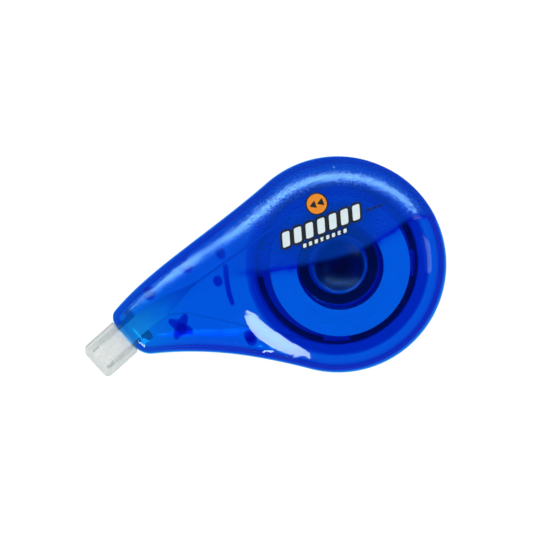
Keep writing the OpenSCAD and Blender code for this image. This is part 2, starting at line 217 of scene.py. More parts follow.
def outline_samples(step=0.05):
    """Dense points along the housing and both flanks."""
    arc = polar(HOUSING_R, np.arange(LOWER_ANGLE - 360, UPPER_ANGLE, math.degrees(step / HOUSING_R)))
    t = np.arange(0, 1.04, step / 45)
    return np.concatenate([arc, bezier(UPPER, t), bezier(LOWER, t)])


OUTLINE = outline_samples()
OUTLINE_TREE = KDTree(len(OUTLINE))
for index, sample in enumerate(OUTLINE):
    OUTLINE_TREE.insert((sample[0], sample[1], 0), index)
OUTLINE_TREE.balance()


def edge_distance(points):
    """Distance from points to the outline of the housing and flanks."""
    return np.array([OUTLINE_TREE.find((p[0], p[1], 0))[2] for p in points])


def hull_height(points, inset=0.0):
    """Height of a shell's plain rounded skin above the parting plane."""
    t = neck_param(points)
    top = neck_half_t(t) - inset
    f_side = np.clip(1 - (edge_distance(points) - inset) / (edge_reach(t) - inset), 0, 1)
    f_nose = np.clip(1 + ((points - NOSE) @ OUT_DIR + inset) / (NOSE_EDGE - inset), 0, 1)
    power = NOSE_CORNER_POWER
    f = np.minimum((f_side**power + f_nose**power) ** (1 / power), 1)
    return BAND * top + (1 - BAND) * top * np.sqrt(1 - f * f)


def flank_normal(control, inward, t):
    """Unit vector that points into the casing from a flank."""
    tangent = bezier(control, t + 1e-4) - bezier(control, t - 1e-4)
    return inward * np.array([-tangent[1], tangent[0]]) / np.linalg.norm(tangent)


def flank_place(control, inward, depth, back):
    """Point that lies depth in from a flank and back from the nose's mouth."""
    low, high = 0.3, 1.15
    for _ in range(40):
        t = (low + high) / 2
        place = bezier(control, t) + flank_normal(control, inward, t) * depth(t)
        if (place - NOSE) @ OUT_DIR < -back:
            low = t
        else:
            high = t
    return t, place


def flank_run(control, inward, level, inset, count):
    """Points along a flank from the housing to where the nose's rounding begins."""
    def depth(t):
        return inset + (edge_reach(t) - inset) * (1 - math.cos(level))
    end, _ = flank_place(control, inward, depth, NOSE_EDGE)
    places = []
    for t in np.linspace(0, 1, count) * end:
        places.append(bezier(control, t) + flank_normal(control, inward, t) * depth(t))
    return places


def corner_run(control, inward, level, inset, count):
    """Points round a corner of the nose, from the flank to the nose's front."""
    places = []
    for q in np.linspace(0, math.pi / 2, count + 2)[1:]:
        f_side = math.cos(level) * math.cos(q) ** (2 / NOSE_CORNER_POWER)
        f_nose = math.cos(level) * max(math.sin(q), 0) ** (2 / NOSE_CORNER_POWER)
        back = inset + (NOSE_EDGE - inset) * (1 - f_nose)
        _, place = flank_place(control, inward,
                               lambda t: inset + (edge_reach(t) - inset) * (1 - f_side), back)
        places.append(place)
    return places


def ring(level, inset):
    """Closed plan curve of a skin at edge angle level: 0 on the outline, 90 degrees on the flat."""
    level = math.radians(level)
    upper = flank_run(UPPER, 1, level, inset, FLANK_POINTS)
    upper_corner = corner_run(UPPER, 1, level, inset, CORNER_POINTS)
    lower = flank_run(LOWER, -1, level, inset, FLANK_POINTS)
    lower_corner = corner_run(LOWER, -1, level, inset, CORNER_POINTS)
    front = [mix(upper_corner[-1], lower_corner[-1], f)
             for f in np.linspace(0, 1, FRONT_POINTS + 2)[1:-1]]
    r = HOUSING_R - inset - (EDGE_R - inset) * (1 - math.cos(level))
    arc = polar(r, np.linspace(LOWER_ANGLE - 360, UPPER_ANGLE, ARC_POINTS + 2)[1:-1])
    return np.array(upper + upper_corner + front + lower_corner[::-1] + lower[::-1] + list(arc))


def ring_height(points, level, inset):
    top = neck_half_t(neck_param(points)) - inset
    return BAND * top + (1 - BAND) * top * math.sin(math.radians(level))


def rim_top(angle):
    """Radius at which the rim of the housing begins to slope down to the neck."""
    return curve([(184, 23.2), (188, 21.6), (198, 20.4), (212, 19.5), (225, 19.5), (236, 20.4),
                  (250, 22.2)], angle)


def rim_foot(angle):
    """Radius at which the rim's slope meets the hollowed neck."""
    return curve([(184, 23.3), (188, 23.9), (198, 24.2), (212, 23.3), (225, 22.8), (236, 22.5),
                  (250, 22.3)], angle)


def zone_share(x):
    """How crisp the edge of the frosted zone is: 1 over the housing, 0 along the neck."""
    return ease((x + 25) / 10)


def soft_min(a, b, soften):
    """Smaller of two heights, blended where they are nearly alike."""
    blend = np.clip(0.5 + 0.5 * (a - b) / soften, 0, 1)
    return mix(a, b, blend) - soften * blend * (1 - blend)


def rim_height(r, angle):
    """Height of the slope that leads from the housing's rim down to the neck."""
    start = np.minimum(hull_height(polar(rim_top(angle), angle)), PARTING_Z) - ZONE_STEP
    return start - RIM_SLOPE * (r - rim_top(angle))


def facet_end(angles):
    """Radius at which the rim's slope ends: at its foot, or where the casing's edge cuts it off."""
    low, high = rim_top(angles), rim_foot(angles)
    for _ in range(30):
        middle = (low + high) / 2
        above = hull_height(polar(middle, angles)) - ZONE_STEP > rim_height(middle, angles)
        low = np.where(above, middle, low)
        high = np.where(above, high, middle)
    return low


def front_plain(points):
    """Height of the front face without its dish."""
    x, y = points.T
    r = np.hypot(x, y)
    angle = np.degrees(np.arctan2(y, x)) % 360
    step = ZONE_STEP * ease((zone_line(x) - y) / ZONE_STEP_W)
    step = step * ease((edge_distance(points) - STEP_EDGE) / STEP_EDGE_W)
    plain = hull_height(points) - step * zone_share(x) - PRINT_T * PRINT_LAYERS
    top, foot = rim_top(angle), rim_foot(angle)
    floor = rim_height(foot, angle) + RIM_SLOPE * (foot - top) * (r - foot) / HOLLOW_L
    near = (angle > RIM_FROM) & (angle < RIM_TO) & (r > top - 0.6)
    slope = np.minimum(plain, rim_height(r, angle))
    return np.where(near, np.where(r < foot, slope, soft_min(plain, floor, SOFTEN)), plain)


def dish_height(r):
    """Height over the parting plane of the dish in the middle of the front face."""
    floor = PARTING_Z - DISH_DEPTH + DISH_SPHERE_R
    sphere = floor - np.sqrt(np.maximum(DISH_SPHERE_R**2 - r**2, 1e-9))
    return soft_min(PARTING_Z - ZONE_STEP / 2, np.where(r < DISH_SPHERE_R, sphere, 1e3), SOFTEN)


def front_height(points):
    """Height of the front shell's outer face above the parting plane."""
    r = np.hypot(*points.T)
    plain = front_plain(points)
    return np.where(r < DISH_REACH, np.minimum(plain, dish_height(r)), plain)


def front_inner_height(points):
    """Height of the front shell's inner face above the parting plane."""
    r = np.hypot(*points.T)
    plain = np.minimum(hull_height(points, WALL), front_plain(points) - THIN_WALL)
    under_dish = PARTING_Z - DISH_DEPTH + DISH_SPHERE_R - np.sqrt(
        np.maximum((DISH_SPHERE_R + DISH_WALL) ** 2 - r**2, 1e-9))
    return np.where(r < UNDER_DISH_REACH, np.minimum(plain, under_dish), plain)


# ------------------------------------------------------------------ mesh helpers


def add_mesh(name, points, faces, material, body):
    """New object from points in millimetres, riding on a body."""
    mesh = bpy.data.meshes.new(name)
    mesh.from_pydata([tuple(np.array(p) * MM) for p in points], [], faces)
    obj = bpy.data.objects.new(name, mesh)
    bpy.context.scene.collection.objects.link(obj)
    mesh.materials.append(material)
    clean = bmesh.new()
    clean.from_mesh(mesh)
    bmesh.ops.remove_doubles(clean, verts=clean.verts, dist=2e-6)
    bmesh.ops.recalc_face_normals(clean, faces=clean.faces)
    clean.to_mesh(mesh)
    clean.free()
    mesh.polygons.foreach_set("use_smooth", [True] * len(mesh.polygons))
    mesh.set_sharp_from_angle(angle=math.radians(32))
    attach(obj, body)
    return obj


def bridge(rings):
    """Points and faces of a skin through rings with equally many points."""
    count = len(rings[0])
    points = [tuple(p) for one in rings for p in one]
    faces = []
    for level in range(len(rings) - 1):
        for i in range(count):
            a, b = level * count + i, level * count + (i + 1) % count
            faces.append((a, b, b + count, a + count))
    return points, faces


def lines_inside(line, keep):
    """Stretches of a polyline whose points satisfy keep, as lists of points."""
    stretches, current = [], []
    for point, good in zip(line, keep(np.array(line))):
        if good:
            current.append(point)
        elif current:
            stretches.append(current)
            current = []
    if current:
        stretches.append(current)
    return [s for s in stretches if len(s) > 1]


def fill_plan(loop, spacing, lines=()):
    """Triangles over the inside of a closed plan loop, with edges along the given lines."""
    fixed = [tuple(p) for p in loop]
    edges = [(i, (i + 1) % len(loop)) for i in range(len(loop))]
    for line in lines:
        start = len(fixed)
        fixed += [tuple(p) for p in line]
        edges += [(start + i, start + i + 1) for i in range(len(line) - 1)]
    tree = KDTree(len(fixed))
    for i, p in enumerate(fixed):
        tree.insert((p[0], p[1], 0), i)
    tree.balance()
    low, high = np.min(loop, axis=0), np.max(loop, axis=0)
    rows = np.arange(low[1], high[1], spacing * math.sqrt(3) / 2)
    free = []
    for k, y in enumerate(rows):
        for x in np.arange(low[0] + (k % 2) * spacing / 2, high[0], spacing):
            if tree.find((x, y, 0))[2] > spacing * 0.55:
                free.append((x, y))
    made = delaunay_2d_cdt([Vector(p) for p in fixed + free], edges, [], 1, 1e-6)
    points, faces, origins = made[0], made[2], made[3]
    return np.array([tuple(p) for p in points]), faces, origins


LEVELS = [42 * (k / 9) ** 1.15 for k in range(10)]


def skin(side, inset, height, spacing, lines=()):
    """Rings of a shell's skin from its outline inwards, and its filled middle."""
    rings = []
    for level in LEVELS:
        plan = ring(level, inset)
        z = PARTING_Z + side * ring_height(plan, level, inset)
        rings.append(np.column_stack([plan, z]))
    loop = rings[-1]
    plan, faces, origins = fill_plan(loop[:, :2], spacing, lines)
    z = PARTING_Z + side * height(plan)
    for i, sources in enumerate(origins):
        on_loop = [s for s in sources if s < len(loop)]
        if on_loop:
            z[i] = loop[on_loop[0]][2]
    return rings, np.column_stack([plan, z]), faces


def rim_ring(inset, z):
    """Plan curve at an inset from the outline, at a height above the parting plane."""
    plan = ring(0, inset)
    return np.column_stack([plan, np.full(len(plan), PARTING_Z + z)])


def shell_mesh(name, node, side, outer_height, inner_height, lines, material):
    """One half of the casing: outer skin, stepped rim and inner skin in one closed mesh."""
    outer, outer_top, outer_faces = skin(side, 0, outer_height, OUTER_SPACING, lines)
    inner, inner_top, inner_faces = skin(side, WALL, inner_height, INNER_SPACING)
    gap = PARTING_GAP * side
    step_at = WALL * (FRONT_STEP_AT if side > 0 else REAR_STEP_AT)
    step_z = FRONT_STEP_Z if side > 0 else REAR_STEP_Z
    rim = [rim_ring(0, side * RIM_BEVEL), rim_ring(0.05, side * RIM_BEVEL * 0.45),
           rim_ring(RIM_BEVEL, gap), rim_ring(step_at, gap), rim_ring(step_at, step_z),
           rim_ring(WALL, step_z)]
    band_points, band_faces = bridge(outer[::-1] + rim + inner)
    points = list(band_points)
    faces = list(band_faces)
    for top, top_faces in ((outer_top, outer_faces), (inner_top, inner_faces)):
        start = len(points)
        points += [tuple(p) for p in top]
        faces += [tuple(start + i for i in face) for face in top_faces]
    obj = add_mesh(name, points, faces, material, "casing")
    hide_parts(node)
    return obj


def lathe(name, profile, material, body, at=(0, 0), segments=160):
    """Closed ring or disc: a closed profile of (radius, z) turned about an upright axis."""
    angles = np.linspace(0, 2 * math.pi, segments, endpoint=False)
    points = [(at[0] + r * math.cos(a), at[1] + r * math.sin(a), z) for r, z in profile for a in angles]
    faces = []
    count = len(profile)
    for k in range(count):
        for i in range(segments):
            j = (i + 1) % segments
            n = (k + 1) % count
            faces.append((k * segments + i, k * segments + j, n * segments + j, n * segments + i))
    return add_mesh(name, points, faces, material, body)


def round_outline(points, r, steps=5):
    """Closed outline with each corner of a polygon rounded to radius r, or as near as fits."""
    points = [np.array(p, float) for p in points]
    made = []
    for k, corner in enumerate(points):
        before, after = points[k - 1] - corner, points[(k + 1) % len(points)] - corner
        reach = min(r, 0.45 * np.linalg.norm(before), 0.45 * np.linalg.norm(after))
        a = corner + before / np.linalg.norm(before) * reach
        b = corner + after / np.linalg.norm(after) * reach
        for f in np.linspace(0, 1, steps):
            made.append((1 - f) ** 2 * a + 2 * f * (1 - f) * corner + f * f * b)
    return made


# --------------------------------------------------------------------- materials


def new_material(name):
    """Material with an empty node tree and its output node."""
    material = bpy.data.materials.new(name)
    material.use_nodes = True
    tree = material.node_tree
    tree.nodes.clear()
    output = tree.nodes.new("ShaderNodeOutputMaterial")
    return material, tree, output


def node(tree, kind, **inputs):
    """New shader node with values set or sockets linked by input name."""
    made = tree.nodes.new(kind)
    for name, value in inputs.items():
        socket = made.inputs[name.replace("_", " ")]
        if isinstance(value, bpy.types.NodeSocket):
            tree.links.new(value, socket)
        else:
            socket.default_value = value
    return made


def maths(tree, operation, a, b=0.0):
    """Result of a math node."""
    made = tree.nodes.new("ShaderNodeMath")
    made.operation = operation
    for socket, value in zip(made.inputs, (a, b)):
        if isinstance(value, bpy.types.NodeSocket):
            tree.links.new(value, socket)
        else:
            socket.default_value = value
    return made.outputs[0]


def mix_shaders(tree, factor, first, second):
    made = tree.nodes.new("ShaderNodeMixShader")
    if isinstance(factor, bpy.types.NodeSocket):
        tree.links.new(factor, made.inputs[0])
    else:
        made.inputs[0].default_value = factor
    tree.links.new(first, made.inputs[1])
    tree.links.new(second, made.inputs[2])
    return made.outputs[0]


def noise(tree, scale, detail=2.0):
    """Noise over the object's own coordinates, scale in turns per metre."""
    place = tree.nodes.new("ShaderNodeTexCoord")
    made = node(tree, "ShaderNodeTexNoise", Vector=place.outputs["Object"], Scale=scale, Detail=detail)
    return made.outputs["Fac"]


def remap(tree, value, low, high):
    """Value from 0 to 1 carried to the range low to high."""
    made = node(tree, "ShaderNodeMapRange", Value=value, To_Min=low, To_Max=high)
    return made.outputs["Result"]


def shine(tree, low, high):
    """Share of light a smooth plastic face mirrors: low face on, high at grazing."""
    facing = node(tree, "ShaderNodeLayerWeight", Blend=0.5).outputs["Facing"]
    return remap(tree, maths(tree, "POWER", facing, 4.0), low, high)


def clear_plastic(name, absorb, haze, haze_colour, roughness, bump, tint=(1, 1, 1), gloss=(0.04, 0.6)):
    """Clear or tinted plastic. absorb is what a millimetre takes off each colour, as exponents."""
    material, tree, output = new_material(name)
    through = node(tree, "ShaderNodeBsdfTransparent", Color=(*tint, 1))
    grain = noise(tree, 900, 3)
    lit = node(tree, "ShaderNodeBsdfDiffuse", Color=(*haze_colour, 1), Roughness=0.3)
    glow = node(tree, "ShaderNodeBsdfTranslucent", Color=(*haze_colour, 1))
    cloudy = mix_shaders(tree, 0.45, lit.outputs[0], glow.outputs[0])
    body = mix_shaders(tree, remap(tree, grain, haze * 0.7, haze * 1.3), through.outputs[0], cloudy)
    relief = node(tree, "ShaderNodeBump", Strength=bump, Distance=0.00002, Height=noise(tree, 2600, 3))
    rough = remap(tree, noise(tree, 300, 3), roughness * 0.75, roughness * 1.25)
    gloss_node = node(tree, "ShaderNodeBsdfGlossy", Color=(1, 1, 1, 1), Roughness=rough,
                      Normal=relief.outputs[0])
    surface = mix_shaders(tree, shine(tree, *gloss), body, gloss_node.outputs[0])
    tree.links.new(surface, output.inputs["Surface"])
    add_absorption(tree, output, absorb)
    return material


def add_absorption(tree, output, absorb):
    """Plain absorption inside a closed mesh, from exponents per millimetre."""
    most = max(absorb)
    if most > 0:
        volume = node(tree, "ShaderNodeVolumeAbsorption",
                      Color=tuple(1 - a / most for a in absorb) + (1,), Density=most / MM)
        tree.links.new(volume.outputs[0], output.inputs["Volume"])


def colour_mix(tree, factor, first, second):
    """Colour between two plain ones."""
    made = tree.nodes.new("ShaderNodeMix")
    made.data_type = "RGBA"
    made.inputs[6].default_value = (*first, 1)
    made.inputs[7].default_value = (*second, 1)
    tree.links.new(factor, made.inputs[0])
    return made.outputs[2]


def colour_product(tree, first, second):
    """Two linked colours multiplied."""
    made = tree.nodes.new("ShaderNodeMix")
    made.data_type = "RGBA"
    made.blend_type = "MULTIPLY"
    made.inputs[0].default_value = 1
    tree.links.new(first, made.inputs[6])
    tree.links.new(second, made.inputs[7])
    return made.outputs[2]


def painted(tree, name):
    """Value of a painted attribute, from 0 to 1."""
    made = tree.nodes.new("ShaderNodeAttribute")
    made.attribute_name = name
    return made.outputs["Fac"]


def casing_material(name):
    """Blue casing plastic: clear and glossy, frosted or satin where those attributes are 1, with painted
    shade along the zone step where the slope attribute is 1.
    """
    material, tree, output = new_material(name)
    frost = painted(tree, "frost")
    satin = painted(tree, "satin")
    tint = colour_mix(tree, painted(tree, "thin"), (0.33, 0.68, 1), (0.75, 0.87, 1))
    # Painted shade: where the slope attribute is 1, what shows through the casing is darkened to a deep blue
    # band along the step below the frosted zone.
    band = colour_mix(tree, painted(tree, "slope"), (1, 1, 1), (0.02, 0.26, 0.92))
    through = node(tree, "ShaderNodeBsdfTransparent", Color=colour_product(tree, tint, band))
    haze_colour = colour_mix(tree, noise(tree, 150, 3), (0.001, 0.09, 0.70), (0.002, 0.16, 0.92))
    lit = node(tree, "ShaderNodeBsdfDiffuse", Color=haze_colour)
    glow = node(tree, "ShaderNodeBsdfTranslucent", Color=haze_colour)
    cloudy = mix_shaders(tree, 0.5, lit.outputs[0], glow.outputs[0])
    haze = maths(tree, "ADD", remap(tree, painted(tree, "milky"), 0.03, 0.43),
                 remap(tree, noise(tree, 1500, 4), -0.03, 0.03))
    body = mix_shaders(tree, haze, through.outputs[0], cloudy)
    relief = node(tree, "ShaderNodeBump", Strength=remap(tree, frost, 0.03, 1.0), Distance=0.00006,
                  Height=noise(tree, 2300, 2))
    rough = maths(tree, "ADD", remap(tree, frost, 0.05, 0.2), remap(tree, satin, 0.0, 0.22))
    gloss_tint = colour_mix(tree, maths(tree, "MAXIMUM", frost, satin), (0.75, 0.9, 1), (0.36, 0.78, 1))
    gloss = node(tree, "ShaderNodeBsdfGlossy", Color=gloss_tint, Roughness=rough,
                 Normal=relief.outputs[0])
    share = maths(tree, "MULTIPLY", shine(tree, 0.04, 0.09), remap(tree, satin, 1.0, 0.09))
    surface = mix_shaders(tree, share, body, gloss.outputs[0])
    tree.links.new(surface, output.inputs["Surface"])
    add_absorption(tree, output, (1.2, 0.2, 0.055))
    return material


def solid_material(name, dark, light, scale, roughness, bump=0.1, specular=0.5):
    """Opaque plastic or film, its colour drifting between two tones."""
    material, tree, output = new_material(name)
    blend = colour_mix(tree, noise(tree, scale, 3), dark, light)
    relief = node(tree, "ShaderNodeBump", Strength=bump, Distance=0.00002, Height=noise(tree, 4000, 3))
    rough = remap(tree, noise(tree, scale * 2, 2), roughness * 0.8, roughness * 1.2)
    shader = tree.nodes.new("ShaderNodeBsdfPrincipled")
    tree.links.new(blend, shader.inputs["Base Color"])
    tree.links.new(rough, shader.inputs["Roughness"])
    tree.links.new(relief.outputs[0], shader.inputs["Normal"])
    shader.inputs["Specular IOR Level"].default_value = specular
    tree.links.new(shader.outputs[0], output.inputs["Surface"])
    return material


CASING = casing_material("casing_plastic")
WALL_REEL = clear_plastic("reel_wall_plastic", (4.0, 2.2, 1.1), 0.02, (0.001, 0.01, 0.1), 0.15, 0.2,
                          gloss=(0.02, 0.1))
REEL = clear_plastic("reel_plastic", (3.2, 1.05, 0.14), 0.05, (0.004, 0.05, 0.5), 0.12, 0.2,
                     gloss=(0.03, 0.12))
DARK_REEL = clear_plastic("dark_reel_plastic", (3.5, 1.1, 0.3), 0.05, (0.003, 0.03, 0.35), 0.15, 0.2,
                          gloss=(0.03, 0.12))
INK_WHITE = solid_material("ink_white", (0.58, 0.70, 0.76), (0.70, 0.80, 0.84), 900, 0.35)
INK_BLACK = solid_material("ink_black", (0.004, 0.006, 0.008), (0.012, 0.016, 0.02), 900, 0.4, specular=0.2)
INK_ORANGE = solid_material("ink_orange", (0.70, 0.21, 0.01), (0.78, 0.27, 0.02), 700, 0.4, specular=0.2)
CLEAR = clear_plastic("clear_plastic", (0.07, 0.05, 0.055), 0.3, (1.0, 1.0, 1.0), 0.08, 0.15,
                      gloss=(0.05, 0.5))
HEAD = clear_plastic("head_plastic", (0.12, 0.10, 0.10), 0.45, (0.60, 0.66, 0.65), 0.12, 0.15,
                     gloss=(0.05, 0.5))
TAPE = solid_material("tape_white", (0.86, 0.87, 0.87), (0.95, 0.95, 0.94), 400, 0.5, specular=0.1)
FILM = clear_plastic("backing_film", (0, 0, 0), 0.12, (0.92, 0.95, 0.97), 0.25, 0.1, tint=(0.98, 0.99, 0.99),
                     gloss=(0.03, 0.05))
RUBBER = solid_material("black_rubber", (0.006, 0.006, 0.008), (0.02, 0.02, 0.024), 500, 0.6)
WASHER = solid_material("washer_white", (0.16, 0.26, 0.40), (0.24, 0.35, 0.48), 500, 0.4)


# ------------------------------------------------------------------------ casing


def crease_lines():
    """Plan lines that the front skin's triangles follow."""
    span = np.arange(-25, 24, 0.7)
    lines = [np.column_stack([span, zone_line(span) - drop]) for drop in (0, 0.35, 0.75, 1.1, ZONE_STEP_W)]
    angles = np.arange(185, 246, 1.2)
    angles = angles[facet_end(angles) - rim_top(angles) > 0.25]
    lines += [polar(facet_end(angles), angles), polar(rim_top(angles), angles)]
    return lines


def circle_lines(radii):
    return [polar(r, np.linspace(0, 360, int(2 * math.pi * r / 0.6) + 3)) for r in radii]


def well_inside(points):
    """True for plan points that are inside the casing's inner loop with room to spare."""
    edge = edge_reach(neck_param(points)) * (1 - math.cos(math.radians(LEVELS[-1])))
    back = -(points - NOSE) @ OUT_DIR
    housing = np.hypot(*points.T) < HOUSING_R - edge - 0.35
    between = neck_param(points) > 1e-6
    return (edge_distance(points) > edge + 0.35) & (back > 1.4) & (housing | between)


def paint(obj):
    """Marks the frosted zone, the satin dish of the front face and the slope at the frosted zone's edge,
    which the casing material darkens as painted shade.
    """
    mesh = obj.data
    x, y, z = np.array([tuple(v.co) for v in mesh.vertices]).T / MM
    crisp = zone_share(x)
    spread = ZONE_SPREAD * (1 - crisp)
    below = (zone_line(x) - y) / ZONE_STEP_W
    frost = 1 - ease((zone_line(x) - y + spread) / (ZONE_STEP_W + 2 * spread))
    marks = {"frost": frost,
             "milky": frost * mix(NECK_FROST, 1, crisp),
             # slope: a band just below the zone line on the front face, painted darker as shade by the
             # casing material.
             "slope": ease(below * 4) * (1 - ease(below * 4 - 3)) * (z > PARTING_Z + 4) * crisp,
             "thin": ease((-33 - x) / 15),
             "satin": 1 - ease(np.hypot(x, y) - 6.3)}
    for name, values in marks.items():
        attribute = mesh.attributes.new(name, "FLOAT", "POINT")
        attribute.data.foreach_set("value", values.astype(np.float32))


def cut_mouth(obj):
    """Opens the nose where the head passes through."""
    half = MOUTH_W / 2
    corners = []
    for out in (-3, 3):
        for side in (-half, half):
            for z in (-MOUTH_T / 2, MOUTH_T / 2):
                place = NOSE + OUT_DIR * out + SIDE_DIR * side
                corners.append((place[0] * MM, place[1] * MM, (PARTING_Z + z) * MM))
    mesh = bpy.data.meshes.new("cutter")
    mesh.from_pydata(corners, [], [(0, 1, 3, 2), (4, 6, 7, 5), (0, 4, 5, 1), (2, 3, 7, 6),
                                   (0, 2, 6, 4), (1, 5, 7, 3)])
    cutter = bpy.data.objects.new("cutter", mesh)
    bpy.context.scene.collection.objects.link(cutter)
    modifier = obj.modifiers.new("mouth", "BOOLEAN")
    modifier.object = cutter
    modifier.operation = "DIFFERENCE"
    modifier.solver = "EXACT"
    bpy.context.view_layer.update()
    evaluated = obj.evaluated_get(bpy.context.evaluated_depsgraph_get())
    cut = bpy.data.meshes.new_from_object(evaluated)
    obj.modifiers.clear()
    obj.data = cut
    bpy.data.objects.remove(cutter)


front_lines = [s for line in crease_lines() for s in lines_inside(line, well_inside)]
front_lines = front_lines + circle_lines((5.2, 5.7, 6.1, 6.6))
front = shell_mesh("front_casing", "front_shell", 1, front_height, front_inner_height, front_lines, CASING)
cut_mouth(front)
paint(front)


def rear_inner_height(points):
    """Height of the rear shell's inner face below the parting plane."""
    return hull_height(points, WALL)


rear = shell_mesh("rear_casing", "rear_shell", -1, hull_height, rear_inner_height, [], CASING)
cut_mouth(rear)

# ------------------------------------------------- posts, pegs and ribs inside

POSTS = [(-31.9, 11.3, 4.9), (-41.7, 8.5, 4.2), (-24, -8.7, 5.4)]
STAR = (-37.7, -1.2, 5.1)
TALL_PEG = (-23.8, 11.3, 5.9)
SHORT_PEG = (-26.5, 6.1, 6)
RIB_R = 25.2
RIB_ANGLES = (160.4, 178.6)
REEL_POST_R = 3.0
REEL_POST_BORE_R = 1.9
POST_FOOT = 1.0
POST_TOP = 12.2
POST_BASE_R = 5.0
POST_BASE_BORE_R = 3.2
POST_BASE_TOP = 1.6
PILOT_R = 1.85
PILOT_FOOT = 3.0
PILOT_TOP = 14.2
POST_OUTER_R = 1.2
POST_SOCKET_R = 0.6
POST_PIN_R = 0.55
POST_PIN_L = 1.6
POST_PIN_ROOT = 1
JOINT_GAP = 0.02
PEG_R = 1
TALL_PEG_RISE = 4.4
PART_GAP = 0.2
ROOT = 0.3
STAR_CORE = 2.8
STAR_REACH = 2.9
STAR_T = 0.8
RIB_HALF_T = 0.5
RIB_TOP = 5.9
COLUMN_ROUND = 0.15


def column(name, at, r, low, high, material=CASING, bore=0.0, segments=40):
    """Upright round column with softened ends, bored through if bore is given."""
    round_r = COLUMN_ROUND
    body = [(r - round_r, low), (r, low + round_r), (r, high - round_r), (r - round_r, high)]
    if bore:
        profile = body + [(bore + round_r / 2, high), (bore, high - round_r / 2), (bore, low)]
    else:
        profile = [(0, low)] + body + [(0, high)]
    return lathe(name, profile, material, "casing", at, segments)


def arc_outline(r, half, start, end, round_ends=True):
    """Plan outline of an arc strip about the reel axis, between two angles."""
    outline = [polar(r + half, a) for a in np.linspace(start, end, 16)]
    caps = range(15, 180, 15) if round_ends else ()
    outline += [polar(r, end) + polar(half, end + a) for a in caps]
    outline += [polar(r - half, a) for a in np.linspace(end, start, 16)]
    return outline + [polar(r, start) + polar(half, start + 180 + a) for a in caps]


def prism(name, outline, low, high, material, body="casing"):
    """Upright solid over a closed plan outline."""
    count = len(outline)
    points = [(*p, low) for p in outline] + [(*p, high) for p in outline]
    sides = [(i, (i + 1) % count, (i + 1) % count + count, i + count) for i in range(count)]
    caps = [tuple(range(count))[::-1], tuple(range(count, 2 * count))]
    return add_mesh(name, points, sides + caps, material, body)


def star_outline(core, reach, thick):
    """Plan outline of the boss: a core with a gusset at each corner."""
    points = []
    for turn in range(45, 360, 90):
        along, across = polar(1, turn), polar(1, turn + 90)
        points += [polar(core / 2, turn - 45), along * reach - across * thick / 2,
                   along * reach + across * thick / 2]
    return round_outline([p + np.array(STAR[:2]) for p in points], 0.25)


def inner_details():
    """Posts, pegs, boss and rib. ROOT is how far an end goes on past the level given for the wall."""
    for k, (x, y, level) in enumerate(POSTS):
        column(f"front_post_{k}", (x, y), POST_OUTER_R, PARTING_Z + JOINT_GAP, PARTING_Z + level + ROOT)
        column(f"rear_post_{k}", (x, y), POST_OUTER_R, PARTING_Z - level - ROOT, PARTING_Z,
               bore=POST_SOCKET_R)
        column(f"post_pin_{k}", (x, y), POST_PIN_R, PARTING_Z - POST_PIN_L, PARTING_Z + POST_PIN_ROOT)
    x, y, level = STAR
    column("star_front_post", (x, y), POST_OUTER_R, PARTING_Z + JOINT_GAP, PARTING_Z + level + ROOT)
    prism("star_boss", star_outline(STAR_CORE, STAR_REACH, STAR_T), PARTING_Z - level - ROOT,
          PARTING_Z - 0.1, CASING)
    x, y, level = TALL_PEG
    column("tall_peg", (x, y), PEG_R, PARTING_Z - level - ROOT, PARTING_Z + TALL_PEG_RISE)
    x, y, level = SHORT_PEG
    column("short_peg", (x, y), PEG_R, PARTING_Z + PART_GAP, PARTING_Z + level + ROOT)
    prism("front_arc_rib", arc_outline(RIB_R, RIB_HALF_T, *RIB_ANGLES), PARTING_Z + PART_GAP,
          PARTING_Z + RIB_TOP, CASING)
    column("reel_post", (0, 0), REEL_POST_R, POST_FOOT, POST_TOP, DARK_REEL, bore=REEL_POST_BORE_R,
           segments=96)
    column("reel_post_base", (0, 0), POST_BASE_R, POST_FOOT, POST_BASE_TOP, bore=POST_BASE_BORE_R,
           segments=96)
    column("post_pilot", (0, 0), PILOT_R, PILOT_FOOT, PILOT_TOP, DARK_REEL, segments=64)


inner_details()

# ------------------------------------------------------------------- tape and film

TAPE_W = 4.2
TAPE_T = 0.05
BLADE_L = 7.8
BLADE_TIP_T = 0.25
HEAD_ROOT_T = 1.2
TAPE_CLEAR = 0.11
INSIDE_U = -5.8
ROLL_GAP = 0.12
FEED_RISE_END = 0.68
FEED_TWIST_END = 0.36
RETURN_TWIST_END = 0.6
RETURN_DROP_END = 0.5
RETURN_BEND_DROP = 2.7
SUPPLY_R = box_mm("supply_tape_roll")[1][0]
SUPPLY_Z = (box_mm("supply_tape_roll")[0][2], box_mm("supply_tape_roll")[1][2])
TAKEUP_R = box_mm("takeup_tape_roll")[1][0]
TAKEUP_Z = (box_mm("takeup_tape_roll")[0][2], box_mm("takeup_tape_roll")[1][2])
RETURN_BEND = np.array([-35.4, 1.25])


def tape_section(centre, across, normal):
    """Four corners of the tape about its middle, from unit vectors across it and out of its face."""
    across = across * TAPE_W / 2
    normal = normal * TAPE_T / 2
    return [centre + across + normal, centre - across + normal, centre - across - normal,
            centre + across - normal]


def tape_ring(centre, along, twist):
    """Four corners of the tape's section; twist is 0 lying flat and 90 on edge."""
    twist = math.radians(twist)
    across = np.array([along[1], -along[0], 0]) * math.cos(twist) + np.array([0, 0, math.sin(twist)])
    normal = np.cross(across, np.array([along[0], along[1], 0]))
    return tape_section(np.array(centre), across, normal)


def ribbon(name, rings, material, node_name):
    """Closed strip through a list of four-cornered rings."""
    points, faces = bridge(rings)
    last = len(points) - 4
    faces += [(3, 2, 1, 0), (last, last + 1, last + 2, last + 3)]
    obj = add_mesh(name, points, faces, material, "casing")
    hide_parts(node_name)
    return obj


